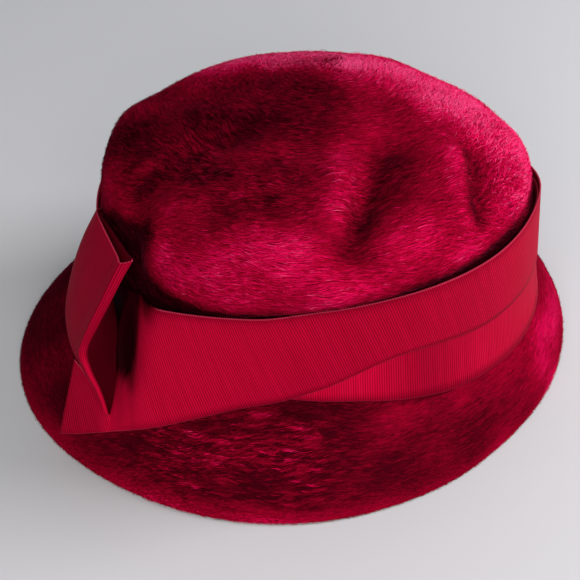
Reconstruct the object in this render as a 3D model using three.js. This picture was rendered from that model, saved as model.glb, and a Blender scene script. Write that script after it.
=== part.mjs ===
// A soft fur-felt cloche hat with a wrapped ribbon band, in millimetres, +Z up.
// The hat rests on its rim at z = 0. Its front points to -X and the wearer's left side to -Y.
import * as THREE from 'three';
import { mergeVertices } from 'three/addons/utils/BufferGeometryUtils.js';

// Driving dimensions
const headHalfLength = 100.4; // outer face of the felt at the foot of the crown, front to back
const headHalfWidth = 85;
const ovalPower = 2.1; // 2 is an ellipse, more is squarer
const headBehindMiddle = 19; // the brim reaches further in front than behind
const seamHeight = 40; // where crown and brim are sewn together, behind the band
const feltWall = 3; // felt with its flattened nap
const ribbonWall = 1;
const gap = 0.3;
const turnsAround = 64;

// The reach of the rim beyond the foot of the crown. turn is in degrees from +X, towards +Y.
const brimSections = [
  { turn: 0, reach: 16 },
  { turn: 30, reach: 22 },
  { turn: 60, reach: 33 },
  { turn: 90, reach: 41.5 },
  { turn: 120, reach: 39.5 },
  { turn: 150, reach: 33.5 },
  { turn: 180, reach: 45 },
  { turn: 210, reach: 48 },
  { turn: 240, reach: 46 },
  { turn: 270, reach: 43 },
  { turn: 300, reach: 29 },
  { turn: 330, reach: 17 },
];

// The brim's fall from the seam to the rim: out is a share of the reach, down a share of the height.
const brimProfile = [
  { out: 0, down: 0 },
  { out: 0, down: 0.09 },
  { out: 0.03, down: 0.14 },
  { out: 0.2, down: 0.2 },
  { out: 0.45, down: 0.36 },
  { out: 0.68, down: 0.56 },
  { out: 0.87, down: 0.79 },
  { out: 1, down: 1 },
];

// The crown's outer face. rise is 0 at the band's top edge, -1 at the seam and 1 at the crown's top;
// the other columns are half lengths to the front, back, near and far sides.
const crownHeight = 127.5;
const crownSections = [
  { rise: -1, front: 100.4, back: 100.4, near: 85, far: 85 },
  { rise: -0.5, front: 100.4, back: 100.4, near: 85, far: 85 },
  { rise: -0.06, front: 100, back: 98, near: 85, far: 84 },
  { rise: 0.01, front: 98.5, back: 97, near: 85.4, far: 84 },
  { rise: 0.07, front: 98.5, back: 97, near: 90.5, far: 86 },
  { rise: 0.22, front: 98.5, back: 97, near: 93.5, far: 88 },
  { rise: 0.45, front: 96, back: 94, near: 91, far: 86 },
  { rise: 0.65, front: 87.5, back: 87, near: 84, far: 79 },
  { rise: 0.8, front: 73.5, back: 75, near: 73, far: 66 },
  { rise: 0.91, front: 51, back: 60, near: 57, far: 49 },
  { rise: 0.97, front: 34, back: 40, near: 37, far: 33 },
  { rise: 0.995, front: 18, back: 18, near: 17, far: 16 },
  { rise: 1, front: 0, back: 0, near: 0, far: 0 },
];

// Dents and ridges of the soft crown: each runs from one point to another, out is how far the felt
// stands out, and less than 0 is a hollow that fades over the distance in wide.
const crownFolds = [
  { from: [-50, -48, 116], to: [-18, -22, 126], wide: 13, out: -4 },
  { from: [-18, -22, 126], to: [38, -16, 127], wide: 13, out: -3.5 },
  { from: [-57, -53, 109], to: [-33, -37, 123], wide: 8, out: -3.5 },
  { from: [-50, -34, 117], to: [-44, -36, 120], wide: 9, out: 3 },
  { from: [57, -12, 127], to: [55, -45, 124], wide: 10, out: -4 },
  { from: [55, -45, 124], to: [52, -76, 115], wide: 10, out: -6 },
  { from: [42, -35, 126], to: [46, -70, 120], wide: 8, out: 2.5 },
  { from: [86, -14, 123], to: [94, -44, 116], wide: 8, out: 3 },
  { from: [94, 0, 121], to: [102, -32, 115], wide: 8, out: -4 },
  { from: [-11, -83, 102], to: [46, -86, 104], wide: 14, out: 2 },
  { from: [-62, -56, 86], to: [-50, -70, 86], wide: 12, out: -5 },
  { from: [-75, -6, 100], to: [-74, 16, 103], wide: 14, out: 3.5 },
  { from: [66, 64, 110], to: [88, 48, 110], wide: 16, out: -3 },
];

// The band: top is where the crown folds over it; the ribbon laid over it on a slant reaches from
// wrapFoot to wrapTop.
const bandSections = [
  { turn: 0, top: 98, wrapTop: 98, wrapFoot: 61 },
  { turn: 30, top: 86, wrapTop: 86, wrapFoot: 58 },
  { turn: 60, top: 83, wrapTop: 82, wrapFoot: 56 },
  { turn: 90, top: 82, wrapTop: 81, wrapFoot: 55 },
  { turn: 120, top: 83, wrapTop: 82, wrapFoot: 54 },
  { turn: 150, top: 85, wrapTop: 84, wrapFoot: 53 },
  { turn: 180, top: 87, wrapTop: 86, wrapFoot: 50 },
  { turn: 210, top: 74, wrapTop: 84, wrapFoot: 45 },
  { turn: 240, top: 68, wrapTop: 84, wrapFoot: 40 },
  { turn: 270, top: 86, wrapTop: 87, wrapFoot: 37 },
  { turn: 300, top: 95, wrapTop: 95, wrapFoot: 61.5 },
  { turn: 330, top: 98, wrapTop: 98, wrapFoot: 62 },
];
const wrapStartTurn = 202.5;
const wrapEndTurn = -78.75;

// The wrap's loose end, from where it leaves the hat's left side to its cut tip over the brim.
const tailSections = [
  { foot: [19, -88.6, 36], head: [19, -91.2, 87.5] },
  { foot: [4, -92.9, 33.8], head: [5, -92.3, 86.4] },
  { foot: [-14, -98.2, 29.6], head: [-12, -92.3, 85.4] },
  { foot: [-30, -101.6, 24.9], head: [-27, -91, 84.6] },
  { foot: [-45.7, -102, 19.8], head: [-42, -87.5, 83.5] },
  { foot: [-51, -101.7, 17.8], head: [-46.5, -95, 39] },
  { foot: [-57, -101.3, 15.7], head: [-55, -98, 26] },
  { foot: [-64, -100.8, 13.4], head: [-62.5, -95.5, 35] },
  { foot: [-73, -99.4, 9.6], head: [-68, -92, 42] },
  { foot: [-83, -96.8, 5.4], head: [-73.5, -88.5, 46] },
];

// The bow's loop from its top edge to its lower tip: heel is where it is sewn on at the front,
// side where it bulges, fold the crease that stands out, tuck where it is sewn on again.
const bowSections = [
  { heel: [-81, -27, 86], side: [-76.5, -42, 91.5], fold: [-47, -77, 97.3], tuck: [-72.5, -45.5, 91] },
  { heel: [-82, -29, 76], side: [-80, -50, 82], fold: [-49.2, -84, 93.6], tuck: [-68, -56, 80] },
  { heel: [-82, -31, 64], side: [-82, -60, 70], fold: [-53, -92, 86], tuck: [-61, -66, 66] },
  { heel: [-81, -36, 53], side: [-82, -71, 59], fold: [-57.6, -99, 77], tuck: [-57, -74, 57] },
  { heel: [-77, -52, 46], side: [-76, -84, 53], fold: [-62, -104, 66], tuck: [-55.5, -82, 50] },
  { heel: [-68, -82, 42], side: [-68, -94, 48], fold: [-60.8, -104, 55.6], tuck: [-54, -90, 42] },
  { heel: [-60, -95, 34], side: [-61, -98, 37], fold: [-57.4, -103.5, 42.3], tuck: [-54, -96, 34] },
  { heel: [-56, -100, 28], side: [-56.5, -101, 28.5], fold: [-55, -104, 29], tuck: [-53.5, -101, 28] },
];

const fur = new THREE.MeshStandardMaterial({ color: 0x96002a, roughness: 0.85, metalness: 0 });
const ribbon = new THREE.MeshStandardMaterial({ color: 0xa30a2c, roughness: 0.55, metalness: 0 });

// Shared helpers
const radians = (degrees) => (degrees * Math.PI) / 180;

function smoothBetween(before, from, to, after, share) {
  const s2 = share * share;
  const s3 = s2 * share;
  return 0.5 * (2 * from + (to - before) * share
    + (2 * before - 5 * from + 4 * to - after) * s2
    + (3 * from - before - 3 * to + after) * s3);
}

// A column's value at any turn, from rows that are spaced evenly round the hat.
function aroundAt(rows, column, turn) {
  const place = ((((turn % 360) + 360) % 360) / 360) * rows.length;
  const row = Math.floor(place);
  const value = (i) => rows[(i + rows.length) % rows.length][column];
  return smoothBetween(value(row - 1), value(row), value(row + 1), value(row + 2), place - row);
}

function ovalPoint(halfFront, halfBack, halfNear, halfFar, turn, height) {
  const c = Math.cos(radians(turn));
  const s = Math.sin(radians(turn));
  const along = c > 0 ? halfBack : halfFront;
  const across = s > 0 ? halfFar : halfNear;
  return new THREE.Vector3(
    headBehindMiddle + along * Math.sign(c) * Math.abs(c) ** (2 / ovalPower),
    across * Math.sign(s) * Math.abs(s) ** (2 / ovalPower),
    height,
  );
}

function headPoint(turn, reach, height) {
  const long = headHalfLength + reach;
  const wide = headHalfWidth + reach;
  return ovalPoint(long, long, wide, wide, turn, height);
}

// A lathed skin whose points are then put where place(turn, row) says.
function lathedSkin(profile, place) {
  const skin = new THREE.LatheGeometry(profile, turnsAround);
  const rows = profile.length;
  const points = skin.attributes.position;
  for (let i = 0; i < points.count; i += 1) {
    const turn = (360 * (Math.floor(i / rows) % turnsAround)) / turnsAround;
    const spot = place(turn, i % rows);
    points.setXYZ(i, spot.x, spot.y, spot.z);
  }
  skin.deleteAttribute('normal');
  skin.deleteAttribute('uv');
  const closed = mergeVertices(skin, 1e-4);
  closed.computeVertexNormals();
  return closed;
}

// The inner face of a wall: each point moved square to the profile.
function insetProfile(outer, wall) {
  return outer.map((point, i) => {
    const before = outer[Math.max(i - 1, 0)];
    const after = outer[Math.min(i + 1, outer.length - 1)];
    const along = after.clone().sub(before).normalize();
    return new THREE.Vector2(point.x + along.y * wall, point.y - along.x * wall);
  });
}

function named(name, geometry, material) {
  const mesh = new THREE.Mesh(geometry, material);
  mesh.name = name;
  return mesh;
}

// Brim: reach and height of its outer face at one turn, from the seam to the rim
function brimOuter(turn) {
  const reach = aroundAt(brimSections, 'reach', turn);
  return brimProfile.map((row) => new THREE.Vector2(row.out * reach, seamHeight * (1 - row.down)));
}

function brimLoop(turn) {
  const outer = brimOuter(turn);
  const inner = insetProfile(outer, feltWall);
  inner[0].y = seamHeight;
  inner[inner.length - 1].y = 0;
  return [...inner, ...outer.reverse(), inner[0]];
}

function makeBrim() {
  const carrier = brimLoop(0).map((point) => new THREE.Vector2(headHalfWidth + point.x, point.y));
  const loops = new Map();
  const geometry = lathedSkin(carrier, (turn, row) => {
    if (!loops.has(turn)) loops.set(turn, brimLoop(turn));
    const point = loops.get(turn)[row];
    return headPoint(turn, point.x, point.y);
  });
  return named('brim', geometry, fur);
}

// Crown
const crownColumns = ['rise', 'front', 'back', 'near', 'far'];

// The section at a place between the rows of the crown's table
function crownSectionAt(place) {
  const row = Math.min(Math.floor(place), crownSections.length - 2);
  const pick = (i, column) => crownSections[Math.min(Math.max(i, 0), crownSections.length - 1)][column];
  const section = {};
  crownColumns.forEach((column) => {
    const values = [-1, 0, 1, 2].map((step) => pick(row + step, column));
    section[column] = smoothBetween(...values, place - row);
  });
  return section;
}

function foldedOut(spot) {
  const middle = new THREE.Vector3(headBehindMiddle, 0, seamHeight);
  const outward = spot.clone().sub(middle).normalize();
  let out = 0;
  crownFolds.forEach((fold) => {
    const line = new THREE.Line3(new THREE.Vector3(...fold.from), new THREE.Vector3(...fold.to));
    const away = line.closestPointToPoint(spot, true, new THREE.Vector3()).distanceTo(spot);
    out += fold.out * Math.exp(-((away / fold.wide) ** 2));
  });
  return spot.clone().addScaledVector(outward, out);
}

function crownSpot(section, turn) {
  const bandTop = aroundAt(bandSections, 'top', turn);
  const foot = seamHeight + gap;
  const span = section.rise < 0 ? bandTop - foot : crownHeight - bandTop;
  const height = bandTop + section.rise * span;
  const spot = ovalPoint(section.front, section.back, section.near, section.far, turn, height);
  return section.rise > 0.02 ? foldedOut(spot) : spot;
}

function makeCrown() {
  const wallRows = 5; // below this row the table is used as it is, above it each step is halved
  const places = [];
  for (let place = 0; place < wallRows; place += 1) places.push(place);
  for (let place = wallRows; place < crownSections.length; place += 0.5) places.push(place);
  places.splice(places.findIndex((place) => place > crownSections.length - 1), places.length);
  const sections = places.map(crownSectionAt);
  const apex = sections.length - 1;
  const outer = sections.map((section) => {
    const ring = [];
    for (let k = 0; k < turnsAround; k += 1) ring.push(crownSpot(section, (360 * k) / turnsAround));
    return ring;
  });
  const inner = outer.map((ring, i) => ring.map((spot, k) => {
    if (i === apex) return spot.clone().add(new THREE.Vector3(0, 0, -feltWall));
    const up = outer[i + 1][k].clone().sub(outer[Math.max(i - 1, 0)][k]);
    const round = ring[(k + 1) % turnsAround].clone().sub(ring[(k + turnsAround - 1) % turnsAround]);
    const inward = up.cross(round).normalize();
    if (i === 0) inward.setZ(0).normalize();
    return spot.clone().addScaledVector(inward, feltWall);
  }));
  const rings = [...inner.slice().reverse(), ...outer];
  const carrier = rings.map((ring) => new THREE.Vector2(Math.abs(ring[turnsAround / 4].y), ring[0].z));
  const geometry = lathedSkin(carrier, (turn, row) => rings[row][Math.round((turn / 360) * turnsAround)]);
  return named('crown', geometry, fur);
}

// Ribbon ring round the foot of the crown
function makeBandBase() {
  const foot = 37;
  const underFold = 3; // the ring's top edge stays this far below the crown's fold
  const levels = 3;
  const rows = [];
  for (let i = levels; i >= 0; i -= 1) rows.push({ reach: gap, share: i / levels });
  for (let i = 0; i <= levels; i += 1) rows.push({ reach: gap + ribbonWall, share: i / levels });
  rows.push(rows[0]);
  const place = (turn, i) => {
    const top = aroundAt(bandSections, 'top', turn) - underFold;
    return headPoint(turn, rows[i].reach, foot + (top - foot) * rows[i].share);
  };
  const nearSide = 270;
  const carrier = rows.map((row, i) => new THREE.Vector2(-place(nearSide, i).y, place(nearSide, i).z));
  return named('band_base', lathedSkin(carrier, place), ribbon);
}

// A cloth wall of even thickness round a surface given by spots[column][row]
function clothWall(spots, thickness) {
  const columns = spots.length - 1;
  const rows = spots[0].length - 1;
  const at = (i, j) => spots[Math.min(Math.max(i, 0), columns)][Math.min(Math.max(j, 0), rows)];
  const wall = new THREE.BoxGeometry(1, 1, 1, columns, rows, 1);
  const points = wall.attributes.position;
  for (let k = 0; k < points.count; k += 1) {
    const i = Math.round((points.getX(k) + 0.5) * columns);
    const j = Math.round((points.getY(k) + 0.5) * rows);
    const along = at(i + 1, j).clone().sub(at(i - 1, j));
    const across = at(i, j + 1).clone().sub(at(i, j - 1));
    const outward = along.cross(across).normalize();
    const spot = at(i, j).clone().addScaledVector(outward, Math.sign(points.getZ(k)) * thickness * 0.5);
    points.setXYZ(k, spot.x, spot.y, spot.z);
  }
  wall.deleteAttribute('normal');
  wall.deleteAttribute('uv');
  const closed = mergeVertices(wall, 1e-4);
  closed.computeVertexNormals();
  return closed;
}

const vectors = (rows, column) => rows.map((row) => new THREE.Vector3(...row[column]));

// Slanting ribbon over the band, with its loose end
function makeBandWrap() {
  const reach = 2 * gap + 1.5 * ribbonWall;
  const step = 360 / turnsAround;
  const rowsUp = 2;
  const feet = [];
  const heads = [];
  for (let turn = wrapStartTurn; turn > wrapEndTurn - 0.01; turn -= step) {
    feet.push(headPoint(turn, reach, aroundAt(bandSections, 'wrapFoot', turn)));
    heads.push(headPoint(turn, reach, aroundAt(bandSections, 'wrapTop', turn)));
  }
  const foot = new THREE.CatmullRomCurve3([feet.at(-1), ...vectors(tailSections, 'foot')]);
  const head = new THREE.CatmullRomCurve3([heads.at(-1), ...vectors(tailSections, 'head')]);
  const stations = 2 * tailSections.length;
  for (let i = 1; i <= stations; i += 1) {
    feet.push(foot.getPoint(i / stations));
    heads.push(head.getPoint(i / stations));
  }
  const spots = feet.map((low, i) => {
    const column = [];
    for (let j = 0; j <= rowsUp; j += 1) column.push(low.clone().lerp(heads[i], j / rowsUp));
    return column;
  });
  return named('band_wrap', clothWall(spots, ribbonWall), ribbon);
}

// Standing loop of the bow
function makeBowLoop() {
  const levels = 12;
  const across = 14;
  const foldHalfTop = 1.7; // half width of the rounded crease
  const foldHalfFoot = 1;
  const foldDepth = 1.6;
  const columns = ['heel', 'side', 'fold', 'tuck'];
  const rails = columns.map((column) => new THREE.CatmullRomCurve3(vectors(bowSections, column)));
  const spots = [];
  for (let i = 0; i <= levels; i += 1) {
    const [heel, side, fold, tuck] = rails.map((rail) => rail.getPoint(i / levels));
    const half = foldHalfTop + (foldHalfFoot - foldHalfTop) * (i / levels);
    const outer = side.clone().sub(fold).normalize();
    const inner = tuck.clone().sub(fold).normalize();
    const spread = outer.clone().sub(inner).normalize().multiplyScalar(half);
    const back = outer.clone().add(inner).normalize().multiplyScalar(foldDepth);
    const path = new THREE.CatmullRomCurve3([
      heel, side, fold.clone().add(back).add(spread), fold, fold.clone().add(back).sub(spread), tuck,
    ]);
    const row = [];
    for (let j = 0; j <= across; j += 1) row.push(path.getPoint(j / across));
    spots.push(row);
  }
  return named('bow_loop', clothWall(spots, ribbonWall), ribbon);
}

const hat = new THREE.Group();
hat.add(makeCrown(), makeBrim(), makeBandBase(), makeBandWrap(), makeBowLoop());

// The tables are drawn about the head's middle line; the frame's origin is under the middle of the hat.
const middle = new THREE.Box3().setFromObject(hat).getCenter(new THREE.Vector3());
hat.children.forEach((piece) => piece.geometry.translate(-middle.x, -middle.y, 0));

export default hat;
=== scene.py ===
import math

import bmesh
import bpy
import numpy as np
from mathutils import Matrix, Vector
from mathutils.kdtree import KDTree


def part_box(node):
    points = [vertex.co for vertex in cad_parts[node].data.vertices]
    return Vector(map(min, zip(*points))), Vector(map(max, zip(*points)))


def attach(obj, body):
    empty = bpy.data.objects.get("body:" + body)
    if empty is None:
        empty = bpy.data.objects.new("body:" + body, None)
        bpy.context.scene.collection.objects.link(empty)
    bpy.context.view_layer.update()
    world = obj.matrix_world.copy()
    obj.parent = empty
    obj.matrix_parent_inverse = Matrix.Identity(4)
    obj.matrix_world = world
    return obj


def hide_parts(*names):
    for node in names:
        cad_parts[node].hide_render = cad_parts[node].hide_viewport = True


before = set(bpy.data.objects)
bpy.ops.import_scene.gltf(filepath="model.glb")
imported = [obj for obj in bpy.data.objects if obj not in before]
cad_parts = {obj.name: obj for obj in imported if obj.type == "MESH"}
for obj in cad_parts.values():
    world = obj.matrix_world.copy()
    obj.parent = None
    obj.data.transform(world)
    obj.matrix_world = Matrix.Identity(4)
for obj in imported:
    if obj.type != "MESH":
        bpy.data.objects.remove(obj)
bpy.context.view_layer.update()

scene = bpy.context.scene
scene.view_settings.view_transform = "Standard"
mm = 0.001

# the hat's tables are in mm, and their zero lies this far in front of the middle of the head
zeroInFront = 19
bandLow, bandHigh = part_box("band_base")
headMiddle = np.array([(bandLow[0] + bandHigh[0]) / 2, (bandLow[1] + bandHigh[1]) / 2, 0.0])
patternZero = headMiddle - np.array([zeroInFront * mm, 0, 0])


def fromPattern(spots):
    return np.asarray(spots, float) * mm + patternZero


def linearColour(hexValue):
    parts = [int(hexValue[i:i + 2], 16) / 255 for i in (0, 2, 4)]
    return [p / 12.92 if p <= 0.04045 else ((p + 0.055) / 1.055) ** 2.4 for p in parts] + [1.0]


def addNode(tree, kind, settings=None, inputs=None, stops=None):
    node = tree.nodes.new(kind)
    for name, value in (settings or {}).items():
        setattr(node, name, value)
    for key, value in (inputs or {}).items():
        if isinstance(value, bpy.types.NodeSocket):
            tree.links.new(value, node.inputs[key])
        else:
            node.inputs[key].default_value = value
    if stops:  # a colour ramp's places and colours
        ramp = node.color_ramp
        while len(ramp.elements) < len(stops):
            ramp.elements.new(0.5)
        for element, (place, colour) in zip(ramp.elements, stops):
            element.position = place
            element.color = linearColour(colour)
    return node


def newMaterial(name):
    material = bpy.data.materials.new(name)
    material.use_nodes = True
    tree = material.node_tree
    tree.nodes.clear()
    output = tree.nodes.new("ShaderNodeOutputMaterial")
    return material, tree, output


# the felt body under the nap: matted fur fibre, quite matt, in a cloudy dye
# cloud and grain are swells to a metre, so about 45 mm and 1.1 mm each
feltLook = {"dark": "4a0010", "mid": "6c0019", "light": "820020", "cloud": 22, "grain": 900}


def makeFeltMaterial():
    material, tree, output = newMaterial("fur_felt_body")
    coords = addNode(tree, "ShaderNodeTexCoord").outputs["Object"]
    cloud = addNode(tree, "ShaderNodeTexNoise", {}, {
        "Vector": coords, "Scale": feltLook["cloud"], "Detail": 4.0})
    grain = addNode(tree, "ShaderNodeTexNoise", {}, {
        "Vector": coords, "Scale": feltLook["grain"], "Detail": 3.0})
    colour = addNode(tree, "ShaderNodeValToRGB", {}, {"Fac": cloud.outputs["Fac"]}, stops=[
        (0.3, feltLook["dark"]), (0.55, feltLook["mid"]), (0.75, feltLook["light"])])
    bump = addNode(tree, "ShaderNodeBump", {}, {
        "Height": grain.outputs["Fac"], "Strength": 0.5, "Distance": 0.4 * mm})
    felt = addNode(tree, "ShaderNodeBsdfPrincipled", {}, {
        "Base Color": colour.outputs["Color"], "Normal": bump.outputs["Normal"],
        "Roughness": 0.9, "Specular IOR Level": 0.02, "Specular Tint": linearColour("ff5a86"),
        "Sheen Weight": 0.15, "Sheen Roughness": 0.35, "Sheen Tint": linearColour("ff2c66")})
    tree.links.new(felt.outputs["BSDF"], output.inputs["Surface"])
    return material


# the long nap: dyed rabbit fur, each hair darker at its root; its pink gloss where it is brushed towards the
# light is painted into its tones as painted sheen, and its deepest shade as painted shadow, because real
# highlights on so many flat hairs make a grey mist
napLook = {"root": "2c0009", "hollow": "0a0002", "deep": "34020c", "middle": "970425",
           "bright": "dc0c56", "paintedSheen": "de4c80", "sheen": "ff4678"}


def makeNapMaterial():
    material, tree, output = newMaterial("dyed_rabbit_nap")
    uv = addNode(tree, "ShaderNodeUVMap", {"uv_map": "hair"})
    parts = addNode(tree, "ShaderNodeSeparateXYZ", {}, {"Vector": uv.outputs["UV"]})
    # the lowest stop is the colour of painted shadow and the highest the colour of painted sheen
    tone = addNode(tree, "ShaderNodeValToRGB", {}, {"Fac": parts.outputs["X"]}, stops=[
        (0.0, napLook["hollow"]), (0.05, napLook["deep"]), (0.5, napLook["middle"]),
        (0.8, napLook["bright"]), (1.0, napLook["paintedSheen"])])
    shade = addNode(tree, "ShaderNodeMix", {"data_type": "RGBA"}, {
        "Factor": parts.outputs["Y"], 6: linearColour(napLook["root"]), 7: tone.outputs["Color"]})
    hair = addNode(tree, "ShaderNodeBsdfPrincipled", {}, {
        "Base Color": shade.outputs[2], "Roughness": 0.45, "IOR": 1.55, "Specular IOR Level": 0.0,
        "Sheen Weight": 0.12, "Sheen Roughness": 0.3, "Sheen Tint": linearColour(napLook["sheen"])})
    tree.links.new(hair.outputs["BSDF"], output.inputs["Surface"])
    return material


# grosgrain: a rayon warp over cotton cords, so cross ribs, with painted shade in the valleys between them and
# painted light on their crests, where a low, soft light catches them
# its ribs are drawn a little coarser than the real 0.8 mm, so that they show; sizes are in mm
# streaks are swells of shade to a metre, along the ribbon and across it, so that the ribs differ a little
# edge... is the paler woven edge, with painted highlight on its crests; the folds' painted shade mixes
# towards a near-black colour, and shade... how deep in that painted shade the edge's paleness starts to fade
# and is gone
ribbonLook = {"paintedValleyShade": "760318", "rib": "960527", "paintedCrestLight": "ac0732", "paintedShade": "050001", "edge": "b83c56",
              "pitch": 1.05, "ribHeight": 0.3, "streaks": (450, 25, 1),
              "edgeFrom": 0.3, "edgeTo": 0.6, "edgeBy": 0.5, "shadeFrom": 0.5, "shadeTo": 0.84}


def ribbonRibs(tree, uv):  # 0 in the valleys between the ribs, 1 on their crests
    parts = addNode(tree, "ShaderNodeSeparateXYZ", {}, {"Vector": uv.outputs["UV"]})
    count = addNode(tree, "ShaderNodeMath", {"operation": "DIVIDE"}, {
        0: parts.outputs["X"], 1: ribbonLook["pitch"] * mm})
    angle = addNode(tree, "ShaderNodeMath", {"operation": "MULTIPLY"}, {0: count.outputs[0], 1: 2 * math.pi})
    wave = addNode(tree, "ShaderNodeMath", {"operation": "COSINE"}, {0: angle.outputs[0]})
    return addNode(tree, "ShaderNodeMath", {"operation": "MULTIPLY_ADD"}, {
        0: wave.outputs[0], 1: 0.5, 2: 0.5})


def ribbonColour(tree, uv, ripple):
    stretch = addNode(tree, "ShaderNodeMapping", {"vector_type": "POINT"}, {
        "Vector": uv.outputs["UV"], "Scale": ribbonLook["streaks"]})
    streak = addNode(tree, "ShaderNodeTexNoise", {}, {
        "Vector": stretch.outputs["Vector"], "Scale": 1.0, "Detail": 3.0})
    shade = addNode(tree, "ShaderNodeMath", {"operation": "MULTIPLY_ADD"}, {
        0: streak.outputs["Fac"], 1: 0.5, 2: -0.25})
    level = addNode(tree, "ShaderNodeMath", {"operation": "MULTIPLY_ADD", "use_clamp": True}, {
        0: ripple.outputs[0], 1: 0.75, 2: shade.outputs[0]})
    return addNode(tree, "ShaderNodeValToRGB", {}, {"Fac": level.outputs[0]}, stops=[
        (0.0, ribbonLook["paintedValleyShade"]), (0.45, ribbonLook["rib"]), (1.0, ribbonLook["paintedCrestLight"])])


def ribbonEdge(tree, paintedShade, ripple):  # the woven edge is paler, with a painted highlight on each crest, unless it lies in a fold's painted shade
    fromEdge = addNode(tree, "ShaderNodeAttribute", {"attribute_name": "fromEdge"})
    onEdge = addNode(tree, "ShaderNodeMapRange", {}, {
        "Value": fromEdge.outputs["Fac"], "From Min": ribbonLook["edgeFrom"] * mm,
        "From Max": ribbonLook["edgeTo"] * mm, "To Min": ribbonLook["edgeBy"], "To Max": 0.0})
    crests = addNode(tree, "ShaderNodeMath", {"operation": "MULTIPLY_ADD"}, {
        0: ripple.outputs[0], 1: 0.6, 2: 0.4})
    outside = addNode(tree, "ShaderNodeMapRange", {}, {
        "Value": paintedShade.outputs["Fac"], "From Min": ribbonLook["shadeFrom"],
        "From Max": ribbonLook["shadeTo"], "To Min": 1.0, "To Max": 0.0})
    ticks = addNode(tree, "ShaderNodeMath", {"operation": "MULTIPLY"}, {
        0: onEdge.outputs["Result"], 1: crests.outputs[0]})
    return addNode(tree, "ShaderNodeMath", {"operation": "MULTIPLY"}, {
        0: ticks.outputs[0], 1: outside.outputs["Result"]})


def makeRibbonMaterial():
    material, tree, output = newMaterial("rayon_grosgrain")
    uv = addNode(tree, "ShaderNodeUVMap", {"uv_map": "ribbon"})
    ripple = ribbonRibs(tree, uv)
    colour = ribbonColour(tree, uv, ripple)
    bump = addNode(tree, "ShaderNodeBump", {}, {
        "Height": ripple.outputs[0], "Strength": 0.6, "Distance": ribbonLook["ribHeight"] * mm})
    # painted shade: how deep in a fold the cloth lies, and a little under 0 for painted light where it stands
    # out to the light
    paintedShade = addNode(tree, "ShaderNodeAttribute", {"attribute_name": "paintedShade"})
    paintedShadeMix = addNode(tree, "ShaderNodeMix", {"data_type": "RGBA"}, {
        "Factor": paintedShade.outputs["Fac"], 6: colour.outputs["Color"], 7: linearColour(ribbonLook["paintedShade"])})
    paintedShadeMix.clamp_factor = False
    seen = ribbonEdge(tree, paintedShade, ripple)
    edged = addNode(tree, "ShaderNodeMix", {"data_type": "RGBA"}, {
        "Factor": seen.outputs[0], 6: paintedShadeMix.outputs[2], 7: linearColour(ribbonLook["edge"])})
    cloth = addNode(tree, "ShaderNodeBsdfPrincipled", {}, {
        "Base Color": edged.outputs[2], "Normal": bump.outputs["Normal"],
        "Roughness": 0.55, "Specular IOR Level": 0.015, "Specular Tint": linearColour("ff4c74"),
        "Sheen Weight": 0.03, "Sheen Roughness": 0.4, "Sheen Tint": linearColour("ff2c60")})
    tree.links.new(cloth.outputs["BSDF"], output.inputs["Surface"])
    return material


feltMaterial = makeFeltMaterial()
napMaterial = makeNapMaterial()
ribbonMaterial = makeRibbonMaterial()
print("materials made")


def linkPiece(name, mesh, material):
    piece = bpy.data.objects.new(name, mesh)
    scene.collection.objects.link(piece)
    mesh.materials.clear()
    mesh.materials.append(material)
    for face in mesh.polygons:
        face.use_smooth = True
    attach(piece, "root")
    return piece


def finishedMesh(piece):
    depsgraph = bpy.context.evaluated_depsgraph_get()
    old = piece.data
    piece.data = bpy.data.meshes.new_from_object(piece.evaluated_get(depsgraph))
    piece.modifiers.clear()
    bpy.data.meshes.remove(old)


def smoothCopy(nodeName, pieceName, material, levels):
    bm = bmesh.new()
    bm.from_mesh(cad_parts[nodeName].data)
    bmesh.ops.remove_doubles(bm, verts=bm.verts, dist=0.01 * mm)
    bmesh.ops.join_triangles(bm, faces=bm.faces, angle_face_threshold=math.pi, angle_shape_threshold=math.pi)
    mesh = bpy.data.meshes.new(pieceName)
    bm.to_mesh(mesh)
    bm.free()
    piece = linkPiece(pieceName, mesh, material)
    smooth = piece.modifiers.new("smooth", "SUBSURF")
    smooth.levels = smooth.render_levels = levels
    finishedMesh(piece)
    return piece


def vertexRows(mesh, key):  # each vertex's place ("co") or normal, a row each
    flat = np.empty(len(mesh.vertices) * 3)
    mesh.vertices.foreach_get(key, flat)
    return flat.reshape(-1, 3)


def setPoints(mesh, points):
    mesh.vertices.foreach_set("co", points.ravel())
    mesh.update()


def waves(points, size, seed, count=7):  # a smooth wandering value, about -1 to 1, in swells of this size
    rng = np.random.default_rng(seed)
    total = np.zeros(len(points))
    for _ in range(count):
        way = rng.normal(size=3)
        way *= 2 * math.pi / (size * np.linalg.norm(way) * rng.uniform(0.7, 1.4))
        total += np.sin(points @ way + rng.uniform(0, 2 * math.pi))
    return total / math.sqrt(count)


# the same outlines as the model's: the oval of the crown's foot, and the ribbons' edges above the floor,
# in mm, with a value for each 30 degrees of turn from +X towards +Y
headOval = {"halfLength": 100.4, "halfWidth": 85, "power": 2.1}
bandTop = [98, 86, 83, 82, 83, 85, 87, 74, 68, 86, 95, 98]
wrapTop = [98, 86, 82, 81, 82, 84, 86, 84, 84, 87, 95, 98]
wrapFoot = [61, 58, 56, 55, 54, 53, 50, 45, 40, 37, 61.5, 62]


def aroundAt(rows, turn):  # a smooth value between the rows of such a table
    rows = np.asarray(rows, float)
    place = (np.asarray(turn) % 360) / 360 * len(rows)
    row = np.floor(place).astype(int)
    share = place - row
    before, start, end, after = (rows[(row + step) % len(rows)] for step in (-1, 0, 1, 2))
    return 0.5 * (2 * start + (end - before) * share
                  + (2 * before - 5 * start + 4 * end - after) * share ** 2
                  + (3 * start - before - 3 * end + after) * share ** 3)


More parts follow.
